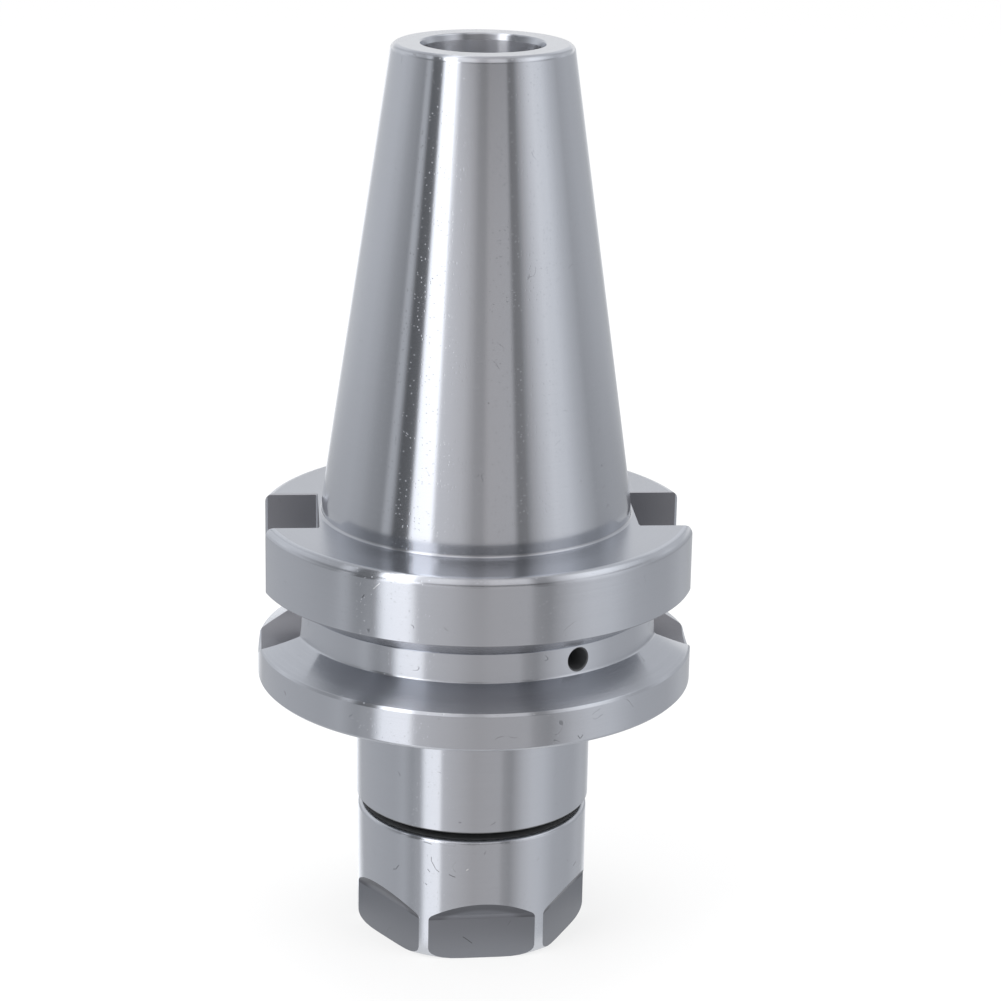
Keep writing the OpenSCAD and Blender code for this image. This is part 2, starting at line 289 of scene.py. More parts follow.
def screenMaterial():
    material, tree = emptyMaterial("studio_screen")
    turn = addNode(tree, "ShaderNodeMapping", {
        "Vector": objectPoint(tree), "Rotation": (0, 0, -math.radians(shot["turn"]))})
    x, y, z = split(tree, turn.outputs[0])
    flat = fromAxis(tree, x, y)
    around = calc(tree, "ARCTAN2", x, calc(tree, "MULTIPLY", y, -1.0))
    rise = calc(tree, "ARCTAN2", z, flat)

    # Steel shows this point to the camera where it faces half way between them
    down = math.radians(shot["down"])
    level = calc(tree, "COSINE", rise)
    sideways = calc(tree, "MULTIPLY", level, calc(tree, "SINE", around))
    towards = calc(tree, "MULTIPLY_ADD", level, calc(tree, "COSINE", around), math.cos(down))
    upwards = calc(tree, "ADD", calc(tree, "SINE", rise), math.sin(down))
    facing = calc(tree, "ARCTANGENT", calc(tree, "DIVIDE", sideways, towards))
    taperFacing = calc(tree, "DIVIDE", around, screen["taperTurn"])
    high = remap(tree, rise, 0.0, math.radians(screen["wallRise"]))
    facing = calc(tree, "MULTIPLY_ADD", high, calc(tree, "SUBTRACT", facing, taperFacing), taperFacing)
    lean = calc(tree, "DEGREES", calc(tree, "ARCTAN2", upwards, fromAxis(tree, sideways, towards)))
    share = remap(tree, facing, -math.pi / 2, math.pi / 2)
    # On the table near the nut the half way direction also depends on the steel's distance from the axis
    least, most = screen["nutShare"]
    near = calc(tree, "MINIMUM", calc(tree, "DIVIDE", nut["radius"] * mm, flat), most)
    halving = calc(tree, "SUBTRACT", 2.0, calc(tree, "MAXIMUM", near, least))
    nearFacing = calc(tree, "DIVIDE", around, halving)
    nearShare = remap(tree, nearFacing, -math.pi / 2, math.pi / 2)

    # A ramp's colours end at 1, so the gain is halved in its stops and doubled again after it
    halves = [(angle / 90, grey(factor / 2)) for angle, factor in screen["lean"]]
    gain = ramp(tree, calc(tree, "DIVIDE", lean, 90.0), halves)
    wall = shaded(tree, shaded(tree, levelRamp(tree, screen["wallLevels"], share), gain), grey(2))

    degrees = calc(tree, "DEGREES", rise)
    table = levelRamp(tree, screen["tableLevels"], nearShare)
    colour = blendColours(tree, remap(tree, degrees, *screen["tableEnd"]), table, wall)
    top = levelRamp(tree, screen["topLevels"], share)
    colour = blendColours(tree, remap(tree, lean, *screen["topLean"]), colour, top)
    aside = calc(tree, "ABSOLUTE", around)
    inFront = remap(tree, aside, *screen["front"])
    band = calc(tree, "MULTIPLY", inBand(tree, degrees, screen["bounceRise"]), inFront)
    colour = blendColours(tree, band, colour, levelRamp(tree, screen["bounceLevels"], share))
    atBack = remap(tree, aside, *screen["back"])
    strip = calc(tree, "MULTIPLY", inBand(tree, degrees, screen["behind"]), atBack)
    colour = blendColours(tree, strip, colour, grey(screen["behind"]["level"] / screen["brightest"]))
    glow = addNode(tree, "ShaderNodeEmission", {"Color": colour, "Strength": screen["brightest"]})
    addNode(tree, "ShaderNodeOutputMaterial", {0: glow.outputs[0]})
    return material


def addScreen():
    wall = screen["table"][-1]
    rows = [(radius, tableZ + screen["lift"]) for radius in screen["table"]]
    for rise in screen["rise"]:
        angle = math.radians(rise)
        rows.append((wall * math.cos(angle), wall * math.sin(angle)))
    n = screen["segments"]
    points = [(radius * math.sin(angle), -radius * math.cos(angle), z) for radius, z in rows
              for angle in fullTurn(n)]
    faces = bands(len(rows), n)
    faces.append(tuple(range((len(rows) - 1) * n, len(rows) * n)))
    card = meshObject("studio_screen", points, faces)
    card.data.materials.append(screenMaterial())
    card.visible_camera = False
    card.visible_diffuse = False
    card.visible_shadow = False
    card.visible_transmission = False


lamps = {  # metres and watts, with -Y towards the camera
    "key_lamp": {"at": (-0.9, -0.7, 1.1), "size": 0.9, "power": 12},
    "fill_lamp": {"at": (1.0, -0.5, 0.9), "size": 0.9, "power": 7},
    "top_lamp": {"at": (0.0, 0.4, 1.3), "size": 1.0, "power": 8},
}


def addLamp(name, lamp):  # it looks at the origin, and steel doesn't show it
    data = bpy.data.lights.new(name, "AREA")
    data.size = lamp["size"]
    data.energy = lamp["power"]
    thing = bpy.data.objects.new(name, data)
    thing.location = inShot(*lamp["at"])
    thing.rotation_mode = "QUATERNION"
    thing.rotation_quaternion = (-thing.location).to_track_quat("-Z", "Y")
    thing.visible_glossy = False
    bpy.context.scene.collection.objects.link(thing)


nut = {  # millimetres and degrees; the screen and the painted shade on the run-outs use its radius too
    "radius": 16.9, "rear": -46.7, "front": -65.9, "rearEdge": 0.7, "frontEdge": 1.7, "round": 0.1,
    "threadRadius": 12.55, "threadLead": 0.6, "threadEnd": -58.9, "cavityRadius": 11.1,
    "lipHigh": -60.15, "lipLow": -61.65, "lipRadius": 10.25, "lipOffset": 0.65, "lipFacets": 96,
    "seatRadius": 10.594, "mouthRadius": 8.75, "mouthTop": -64.844, "mouthChamfer": 0.4,
    "flats": 6, "acrossFlats": 30.0, "flatHeight": 6.7, "flatAngle": -87.6,
    "runOut": 36, "runOutRadius": 1.5, "runOutFacets": 8,
}


# Marks on steel: shader groups that each finish uses with its own values

def shaderGroup(name, inputs, outputs):
    group = bpy.data.node_groups.new(name, "ShaderNodeTree")
    for title, kind, value in inputs:
        socket = group.interface.new_socket(title, in_out="INPUT", socket_type="NodeSocket" + kind)
        socket.default_value = value
    for title, kind in outputs:
        group.interface.new_socket(title, in_out="OUTPUT", socket_type="NodeSocket" + kind)
    return group, addNode(group, "NodeGroupInput").outputs, addNode(group, "NodeGroupOutput").inputs


def noise(tree, vector, scale, detail=0.0):
    values = {"Vector": vector, "Scale": scale, "Detail": detail}
    return addNode(tree, "ShaderNodeTexNoise", values).outputs["Fac"]


def turningGroup():
    # Fine rings that the tool leaves: they run round the axis, on walls and on faces
    group, given, result = shaderGroup("turning_lines", [
        ("Colour", "Color", (0.5, 0.5, 0.5, 1)), ("Roughness", "Float", 0.2), ("Spacing", "Float", 0.00025),
        ("Contrast", "Float", 0.05)], [("Colour", "Color"), ("Roughness", "Float")])
    x, y, z = split(group, objectPoint(group))
    radius = fromAxis(group, x, y)
    safe = calc(group, "MAXIMUM", radius, 1e-5)
    place = {}
    for side, far, axis in ((x, radius, "X"), (y, z, "Y")):
        rings = calc(group, "DIVIDE", far, given["Spacing"])
        wander = calc(group, "DIVIDE", side, safe)  # a ring's tone also changes slowly on its way round
        place[axis] = calc(group, "ADD", rings, wander)
    along = addNode(group, "ShaderNodeCombineXYZ", place)
    tone = calc(group, "SUBTRACT", noise(group, along.outputs[0], 1.0, 2.0), 0.5)
    swing = calc(group, "MULTIPLY", tone, given["Contrast"])
    light = calc(group, "MULTIPLY_ADD", swing, 2.0, 1.0)
    group.links.new(shaded(group, given["Colour"], light), result["Colour"])
    group.links.new(calc(group, "ADD", given["Roughness"], swing), result["Roughness"])
    return group


def spots(tree, vector, spacing, size, share):  # round spots in a share of the cells
    cells = addNode(tree, "ShaderNodeTexVoronoi", {"Vector": vector, "Scale": 1 / spacing, "Randomness": 1.0})
    chance = addNode(tree, "ShaderNodeSeparateColor", {0: cells.outputs["Color"]})
    chosen = calc(tree, "LESS_THAN", chance.outputs[0], share)
    spot = remap(tree, cells.outputs["Distance"], size / spacing, 0.5 * size / spacing, kind="SMOOTHSTEP")
    return calc(tree, "MULTIPLY", spot, chosen)


marks = {  # spacing and size in metres, noise scales per metre
    "dots": (0.0019, 0.0001),
    "pits": (0.0005, 0.00012),
    "hairScale": 300.0,
    "hairWidth": (0.008, 0.002),  # how near the noise comes to its middle on a hair
    "patchScale": 420.0,
    "patch": (0.72, 0.77),  # the noise values where hairs begin to show
    "hairShare": 0.6,  # how dark a hair is against a dot
    "darken": -0.7,
    "dull": 0.15,
    "waveScale": 700.0,
    "bump": 0.000008,
    "scratchWidth": 0.1,  # millimetres
    "scratchSide": (1.6, 0.6),  # half widths between which a scratch fades in
    "scratchEnd": (1.0, 0.8),  # half lengths, as above
    "scratchReach": 1.5,  # half lengths from its centre, within which a scratch shows
    "scratchShade": 0.4,  # of the steel's colour
    # the nicks' near-white colour is a painted glint
    "nickGlintColour": (0.95, 0.96, 0.97, 1),
}


def handlingGroup():
    # What racks and hands leave: a few dark dots, short hairs and many small pits that glint beside a light
    group, given, result = shaderGroup("handling_marks", [
        ("Colour", "Color", (0.5, 0.5, 0.5, 1)), ("Roughness", "Float", 0.2), ("Dots", "Float", 0.05),
        ("Hairs", "Float", 0.5), ("Pits", "Float", 0.3), ("Waves", "Float", 0.2)],
        [("Colour", "Color"), ("Roughness", "Float"), ("Height", "Float")])
    here = objectPoint(group)
    dots = spots(group, here, *marks["dots"], given["Dots"])
    pits = spots(group, here, *marks["pits"], given["Pits"])
    bent = calc(group, "SUBTRACT", noise(group, here, marks["hairScale"], 1.0), 0.5)
    line = remap(group, calc(group, "ABSOLUTE", bent), *marks["hairWidth"], kind="SMOOTHSTEP")
    patch = remap(group, noise(group, here, marks["patchScale"]), *marks["patch"], kind="SMOOTHSTEP")
    hairs = calc(group, "MULTIPLY", calc(group, "MULTIPLY", line, patch), given["Hairs"])
    dark = calc(group, "MAXIMUM", dots, calc(group, "MULTIPLY", hairs, marks["hairShare"]))
    shade = calc(group, "MULTIPLY_ADD", dark, marks["darken"], 1.0)
    group.links.new(shaded(group, given["Colour"], shade), result["Colour"])
    dull = calc(group, "MULTIPLY_ADD", dark, marks["dull"], given["Roughness"])
    group.links.new(dull, result["Roughness"])
    deep = calc(group, "MAXIMUM", pits, calc(group, "MAXIMUM", hairs, dots))
    waves = calc(group, "MULTIPLY", noise(group, here, marks["waveScale"]), given["Waves"])
    group.links.new(calc(group, "SUBTRACT", waves, deep), result["Height"])
    return group


def scratchGroup():
    # One thin curved line where the photo shows it
    group, given, result = shaderGroup("scratch", [
        ("Before", "Float", 0.0), ("Centre", "Vector", (0, 0, 0)), ("Along", "Vector", (1, 0, 0)),
        ("Across", "Vector", (0, 0, 1)), ("Half length", "Float", 0.0005), ("Half width", "Float", 0.00005),
        ("Bend", "Float", 0.0)], [("Mask", "Float")])

    def vectorMath(operation, output, *vectors):
        node = addNode(group, "ShaderNodeVectorMath", enumerate(vectors), operation=operation)
        return node.outputs[output]

    offset = vectorMath("SUBTRACT", "Vector", objectPoint(group), given["Centre"])
    along = vectorMath("DOT_PRODUCT", "Value", offset, given["Along"])
    across = vectorMath("DOT_PRODUCT", "Value", offset, given["Across"])
    far = calc(group, "DIVIDE", along, given["Half length"])
    side = calc(group, "DIVIDE", across, given["Half width"])
    curve = calc(group, "MULTIPLY", calc(group, "MULTIPLY", far, far), given["Bend"])
    offLine = calc(group, "ABSOLUTE", calc(group, "ADD", side, curve))
    width = remap(group, offLine, *marks["scratchSide"], kind="SMOOTHSTEP")
    length = remap(group, calc(group, "ABSOLUTE", far), *marks["scratchEnd"], kind="SMOOTHSTEP")
    # The line would go on through the steel and show on the far side, so it's kept near its centre
    reach = calc(group, "MULTIPLY", given["Half length"], marks["scratchReach"])
    local = calc(group, "LESS_THAN", vectorMath("LENGTH", "Value", offset), reach)
    mask = calc(group, "MULTIPLY", calc(group, "MULTIPLY", width, length), local)
    group.links.new(calc(group, "MAXIMUM", mask, given["Before"]), result["Mask"])
    return group


turningLines, handlingMarks, scratchLine = turningGroup(), handlingGroup(), scratchGroup()

# The scratches that the photo shows: degrees to the right of the camera's direction, radius, height and
# length in millimetres, slant in degrees and bend in half widths
scratches = {
    "turned": [
        (-39.1, 16.9, -52.5, 1.0, 56, 0.6), (-41.0, 16.9, -53.0, 0.6, 13, 0.6),
        (-19.7, 16.9, -49.9, 0.7, -89, 0.4), (-18.5, 16.9, -50.8, 1.4, -60, 0.5),
        (-16.5, 16.9, -51.6, 0.7, -35, 0.3), (-21.0, 16.9, -51.8, 0.6, -48, 0.4),
        (-22.3, 16.9, -54.0, 0.4, -46, 0.0), (-9.1, 16.9, -52.2, 1.1, -20, -0.8),
        (-21.8, 16.9, -47.5, 1.4, -8, 0.6), (64.5, 16.9, -54.2, 1.1, 19, 0.5),
        (-28.8, 31.5, -5.9, 0.7, -126, 1.0), (27.7, 31.5, -25.9, 0.7, -56, 0.0),
        (28.5, 31.5, -25.9, 0.7, 51, 0.0),
    ],
    "flat": [(-1.2, 15.1, -63.0, 1.9, -39, 0.8)],
}
nickGlints = {  # the same, for the light ones: real nicks, painted near white as a glint
    "turned": [(-25.1, 31.5, -4.1, 1.5, 45, 0.3), (-1.7, 16.9, -51.1, 0.5, 44, 0.0)],
}


def scratchMask(tree, lines):
    mask = 0.0
    for around, radius, height, length, slant, bend in lines:
        angle, tilt = math.radians(around), math.radians(slant)
        centre = inShot(radius * math.sin(angle), -radius * math.cos(angle), height)
        side = inShot(math.cos(angle), math.sin(angle), 0)
        up = Vector((0, 0, 1))
        mask = addNode(tree, "ShaderNodeGroup", {
            "Before": mask, "Centre": centre * mm, "Bend": bend,
            "Along": side * math.cos(tilt) + up * math.sin(tilt),
            "Across": up * math.cos(tilt) - side * math.sin(tilt),
            "Half length": length / 2 * mm, "Half width": marks["scratchWidth"] / 2 * mm,
        }, node_tree=scratchLine).outputs["Mask"]
    return mask


# Steel finishes

bright = (0.57, 0.59, 0.63)
# Aspect 1 stretches the highlights most, and lines, dots, hairs, pits and waves are the marks' strengths
looks = {
    "ground": {"colour": bright, "rough": 0.155, "aspect": 0.95, "lines": 0.02,
               "dots": 0.08, "hairs": 0.4, "pits": 0.5, "waves": 0.15},
    "turned": {"colour": bright, "rough": 0.175, "aspect": 0.95, "lines": 0.025,
               "dots": 0.05, "hairs": 0.8, "pits": 0.4, "waves": 0.3},
    "faced": {"colour": bright, "rough": 0.19, "aspect": 0.9, "lines": 0.04,
              "dots": 0.06, "hairs": 0.4, "pits": 0.2},
    # A copy of the faced finish whose darker colour is painted shade on the flange's top face
    "flangeTop": {"colour": (0.49, 0.505, 0.54), "rough": 0.19, "aspect": 0.9, "lines": 0.04,
                  "dots": 0.06, "hairs": 0.4, "pits": 0.2},
    # The groove's upper flank faces down, and its darker colour is painted shade
    "undercutShade": {"colour": (0.4, 0.41, 0.44), "rough": 0.26, "aspect": 1.0, "lines": 0.08},
    "lapped": {"colour": bright, "rough": 0.2},
    # Its colour, lighter than the other steel's, is painted light inside the bores
    "bore": {"colour": (0.72, 0.73, 0.76), "rough": 0.25, "aspect": 1.0, "lines": 0.02},
    "thread": {"colour": (0.42, 0.43, 0.45), "rough": 0.38, "aspect": 0.6},
    "milled": {"colour": (0.33, 0.335, 0.36), "rough": 0.47, "hairs": 0.5, "pits": 0.5},
    "flat": {"colour": (0.26, 0.27, 0.295), "rough": 0.55, "hairs": 0.5, "pits": 0.3},
    # Painted shade: the run-outs get a darker copy of the flats' finish, and are darker still near the nut's
    # full radius
    "runout": {"colour": (0.235, 0.243, 0.268), "rough": 0.5,
               "edge": {"colour": (0.16, 0.165, 0.182), "from": 1.3, "to": 0.7}},  # below the nut's radius, between which the painted shade on the run-out darkens
    # Painted shade: a dark, dull coat where only shade falls, in the marker hole and on the faces across the
    # gap between nose and nut
    "dark": {"colour": (0.1, 0.104, 0.11), "rough": 0.55, "metal": 0.0},
    "collet": {"colour": (0.5, 0.51, 0.53), "rough": 0.3, "aspect": 0.9, "lines": 0.06},
}


def shadeTowardsEdge(tree, colour, edge):  # painted shade: the edge colour, where a run-out comes near the nut's full radius
    x, y, z = split(tree, objectPoint(tree))
    start, end = ((nut["radius"] - edge[key]) * mm for key in ("from", "to"))
    share = remap(tree, fromAxis(tree, x, y), start, end, kind="SMOOTHSTEP")
    return blendColours(tree, share, colour, (*edge["colour"], 1))


def steel(name, colour, rough, aspect=0.0, metal=1.0, lines=0.0, dots=0.0, hairs=0.0, pits=0.0, waves=0.0,
          edge=None):
    material, tree = emptyMaterial(name + "_finish")
    shine = addNode(tree, "ShaderNodeBsdfPrincipled", {
        "Base Color": (*colour, 1), "Metallic": metal, "Roughness": rough, "Anisotropic": aspect,
        "Anisotropic Rotation": 0.25})
    if aspect:
        tangent = addNode(tree, "ShaderNodeTangent", direction_type="RADIAL", axis="Z")
        tree.links.new(tangent.outputs[0], shine.inputs["Tangent"])
    paint, worn = (*colour, 1), rough
    if lines:
        node = addNode(tree, "ShaderNodeGroup", {"Colour": paint, "Roughness": worn, "Contrast": lines},
                       node_tree=turningLines)
        paint, worn = node.outputs["Colour"], node.outputs["Roughness"]
    # painted shade on the run-outs
    if edge:
        paint = shadeTowardsEdge(tree, paint, edge)
    if hairs:
        node = addNode(tree, "ShaderNodeGroup", {
            "Colour": paint, "Roughness": worn, "Dots": dots, "Hairs": hairs, "Pits": pits, "Waves": waves,
        }, node_tree=handlingMarks)
        paint, worn = node.outputs["Colour"], node.outputs["Roughness"]
        bump = addNode(tree, "ShaderNodeBump", {
            "Height": node.outputs["Height"], "Strength": 1.0, "Distance": marks["bump"]})
        tree.links.new(bump.outputs[0], shine.inputs["Normal"])
    if name in scratches:
        dark = [marks["scratchShade"] * part for part in colour]
        paint = blendColours(tree, scratchMask(tree, scratches[name]), paint, (*dark, 1))
    # The nicks are painted near white, a painted glint on real damage
    if name in nickGlints:
        paint = blendColours(tree, scratchMask(tree, nickGlints[name]), paint, marks["nickGlintColour"])
    connect(tree, paint, shine.inputs["Base Color"])
    connect(tree, worn, shine.inputs["Roughness"])
    addNode(tree, "ShaderNodeOutputMaterial", {0: shine.outputs[0]})
    return material


finish = {name: steel(name, **values) for name, values in looks.items()}
print("finishes are made")


# Turned pieces and threads: one geometry tree sweeps an outline round the axis

def painted(tree, shape, named, finishes, given):  # each face gets the finish that its number names
    for number, title in enumerate(finishes):
        own = addNode(tree, "FunctionNodeCompare", {2: named, 3: number}, data_type="INT", operation="EQUAL")
        shape = addNode(tree, "GeometryNodeSetMaterial", {
            "Geometry": shape, "Selection": own.outputs[0], "Material": given[title]}).outputs[0]
    return shape


def sweepTree(name, finishes):
    tree = bpy.data.node_groups.new(name, "GeometryNodeTree")
    tree.is_modifier = True
    tree.interface.new_socket("Outline", in_out="INPUT", socket_type="NodeSocketGeometry")
    tree.interface.new_socket("Steps per turn", in_out="INPUT", socket_type="NodeSocketInt")
    for title in ("Turns", "Rise per turn", "Start height", "Run-out turns", "Root radius"):
        tree.interface.new_socket(title, in_out="INPUT", socket_type="NodeSocketFloat")
    for title in finishes:
        tree.interface.new_socket(title, in_out="INPUT", socket_type="NodeSocketMaterial")
    tree.interface.new_socket("Mesh", in_out="OUTPUT", socket_type="NodeSocketGeometry")
    given = addNode(tree, "NodeGroupInput").outputs
    outline = given["Outline"]
    steps = given["Steps per turn"]
    count = addNode(tree, "GeometryNodeAttributeDomainSize", {0: outline}).outputs["Point Count"]
    last = calc(tree, "ROUND", calc(tree, "MULTIPLY", steps, given["Turns"]))
    columns = calc(tree, "ADD", last, 1.0)
    grid = addNode(tree, "GeometryNodeMeshGrid", {
        "Vertices X": calc(tree, "ADD", count, 1.0), "Vertices Y": columns})
    # A row of the grid is one outline point on its way round, and the half keeps divisions off whole numbers
    index = calc(tree, "ADD", addNode(tree, "GeometryNodeInputIndex").outputs[0], 0.5)
    row = calc(tree, "FLOOR", calc(tree, "DIVIDE", index, columns))
    column = calc(tree, "FLOOR", calc(tree, "MODULO", index, columns))

    point = addNode(tree, "GeometryNodeSampleIndex", {
        "Geometry": outline, "Value": addNode(tree, "GeometryNodeInputPosition").outputs[0],
        "Index": calc(tree, "MODULO", row, count)}, data_type="FLOAT_VECTOR", domain="POINT")
    section = split(tree, point.outputs[0])

    # A thread fades into its root at both ends, and a turned piece, which has no run-out, stays whole
    tiny = 1e-9
    toEnd = calc(tree, "DIVIDE", calc(tree, "MINIMUM", column, calc(tree, "SUBTRACT", last, column)), steps)
    runOut = calc(tree, "MAXIMUM", given["Run-out turns"], tiny)
    full = calc(tree, "DIVIDE", calc(tree, "ADD", toEnd, tiny), runOut, clamp=True)
    root = given["Root radius"]
    radius = calc(tree, "MULTIPLY_ADD", full, calc(tree, "SUBTRACT", section["X"], root), root)
    turned = calc(tree, "DIVIDE", column, steps)
    base = calc(tree, "MULTIPLY_ADD", turned, given["Rise per turn"], given["Start height"])
    height = calc(tree, "MULTIPLY_ADD", full, section["Z"], base)
    angle = calc(tree, "MULTIPLY", turned, 2 * math.pi)
    target = addNode(tree, "ShaderNodeCombineXYZ", {
        "X": calc(tree, "MULTIPLY", radius, calc(tree, "COSINE", angle)),
        "Y": calc(tree, "MULTIPLY", radius, calc(tree, "SINE", angle)), "Z": height})
    bend = addNode(tree, "GeometryNodeSetPosition", {
        "Geometry": grid.outputs["Mesh"], "Position": target.outputs[0]})

    named = addNode(tree, "GeometryNodeInputNamedAttribute", {"Name": "finish"}, data_type="INT")
    kind = addNode(tree, "GeometryNodeSampleIndex", {
        "Geometry": outline, "Value": named.outputs[0],
        "Index": calc(tree, "FLOOR", calc(tree, "DIVIDE", index, last))}, data_type="INT", domain="POINT")
    store = addNode(tree, "GeometryNodeStoreNamedAttribute", {
        "Geometry": bend.outputs[0], "Name": "finish", "Value": kind.outputs[0]},
        data_type="INT", domain="FACE")
    weld = addNode(tree, "GeometryNodeMergeByDistance", {"Geometry": store.outputs[0], "Distance": 1e-6})
    smooth = addNode(tree, "GeometryNodeSetShadeSmooth", {0: weld.outputs[0]})
    real = addNode(tree, "GeometryNodeRealizeInstances", {0: smooth.outputs[0]})
    shape = painted(tree, real.outputs[0], named.outputs[0], finishes, given)
    addNode(tree, "NodeGroupOutput", {0: shape})
    return tree


def swept(name, outline, finishes, **inputs):  # outline: each point's radius, height and finish
    thing = meshObject(name, [(r * mm, 0, z * mm) for r, z, look in outline], [])
    numbers = thing.data.attributes.new("finish", "INT", "POINT")
    for number, (r, z, look) in zip(numbers.data, outline):
        number.value = finishes.index(look)
    tree = sweepTree(name + "_sweep", finishes)
    modifier = thing.modifiers.new("sweep", "NODES")
    modifier.node_group = tree
    for item in tree.interface.items_tree:
        if item.in_out == "INPUT" and item.name in inputs:
            modifier[item.identifier] = inputs[item.name]
        elif item.in_out == "INPUT" and item.name in finishes:
            modifier[item.identifier] = finish[item.name]
    settle(thing)
    thing.data.attributes.remove(thing.data.attributes["finish"])
    if thing.data.materials[0] is None:  # the outline's own empty slot
        thing.data.materials.pop(index=0)
    return thing


turning = {
    "steps": 480,
    "hold": 0.05,  # a point this far past a rounding keeps the long face beside it evenly shaded
    "small": 0.2,  # roundings up to this get the few facets
    "smallFacets": 4,
    "facets": 6,
    "sharp": 25,  # degrees
    "level": 0.02,  # a normal's part away from the axis, below which a face counts as flat
    "straight": 0.999,  # how exactly a turned face's normal points away from the axis
}


def rounded(corners):
    # A corner is radius, height, rounding and the finish of the stretch after it, and the outline is closed
    points = []
    for i, (r, z, rounding, look) in enumerate(corners):
        corner = Vector((r, z))
        back = Vector(corners[i - 1][:2]) - corner
        ahead = Vector(corners[(i + 1) % len(corners)][:2]) - corner
        before = corners[i - 1][3]
        opening = back.angle(ahead)
        bend = math.pi - opening
        back, ahead = back.normalized(), ahead.normalized()
        if not rounding:
            hold = turning["hold"]
            gentle = bend < math.radians(turning["sharp"])
            if gentle:
                points.append((*(corner + back * hold), before))
            points.append((r, z, look))
            if gentle:
                points.append((*(corner + ahead * hold), look))
            continue
        reach = rounding / math.tan(opening / 2)
        middle = corner + (back + ahead).normalized() * rounding / math.sin(opening / 2)
        start = corner + back * reach - middle
        end = corner + ahead * reach - middle
        side = 1 if start.x * end.y - start.y * end.x > 0 else -1
        facets = turning["smallFacets"] if rounding <= turning["small"] else turning["facets"]
        points.append((*(corner + back * (reach + turning["hold"])), before))
        for k in range(facets + 1):
            swing = Matrix.Rotation(side * bend * k / facets, 2)
            points.append((*(middle + swing @ start), look))
        points.append((*(corner + ahead * (reach + turning["hold"])), look))
    return points


holder = {  # millimetres and degrees
    "gaugeRadius": 22.225, "taperLength": 65.4, "taperSlope": 7 / 48, "topChamfer": 0.55, "collar": 2.0,
    "pilotRadius": 8.5, "pilotDepth": 8.0, "pilotWidening": 0.25, "pilotLead": 0.9,
    "studRadius": 8.0, "studLength": 24.0, "studBevel": 0.2, "throughRadius": 5.0, "drillAngle": 59,
    "flangeRadius": 31.5, "flangeHeight": 25.0, "topEdge": 0.8, "lowEdge": 0.5,
    "grooveDrop": 16.6, "grooveMouth": 10.0, "grooveDepth": 5.0, "grooveSlope": 30, "grooveEdge": 0.25,
    "slotWidth": 16.1, "slotFloor": 22.7, "slotDrop": 22.9, "slotEdge": 0.45, "slotTopEdge": 0.2,
    "slotRoot": 0.25, "slotFacets": 36,
    "markerRadius": 1.6, "markerDepth": 9.0, "markerAngle": -61, "markerChamfer": 0.2, "markerFacets": 48,
    "noseRadius": 17.1, "noseDrop": 45.4, "noseRoot": 0.8,
    "spigotLength": 13.2, "rootRadius": 11.58, "reliefLength": 2.4, "reliefDepth": 0.25,
    "spigotChamfer": 0.6, "socketMouth": 10.5, "socketAngle": 8, "socketDepth": 29.0,
    "rounds": {"mouth": 0.25, "top": 0.85, "gauge": 7.0, "collar": 0.4, "rim": 1.2, "grooveFloor": 0.4,
               "grooveEdge": 0.15, "lowLand": 0.1, "low": 0.3, "nose": 0.2, "relief": 0.2, "socket": 0.05},
}


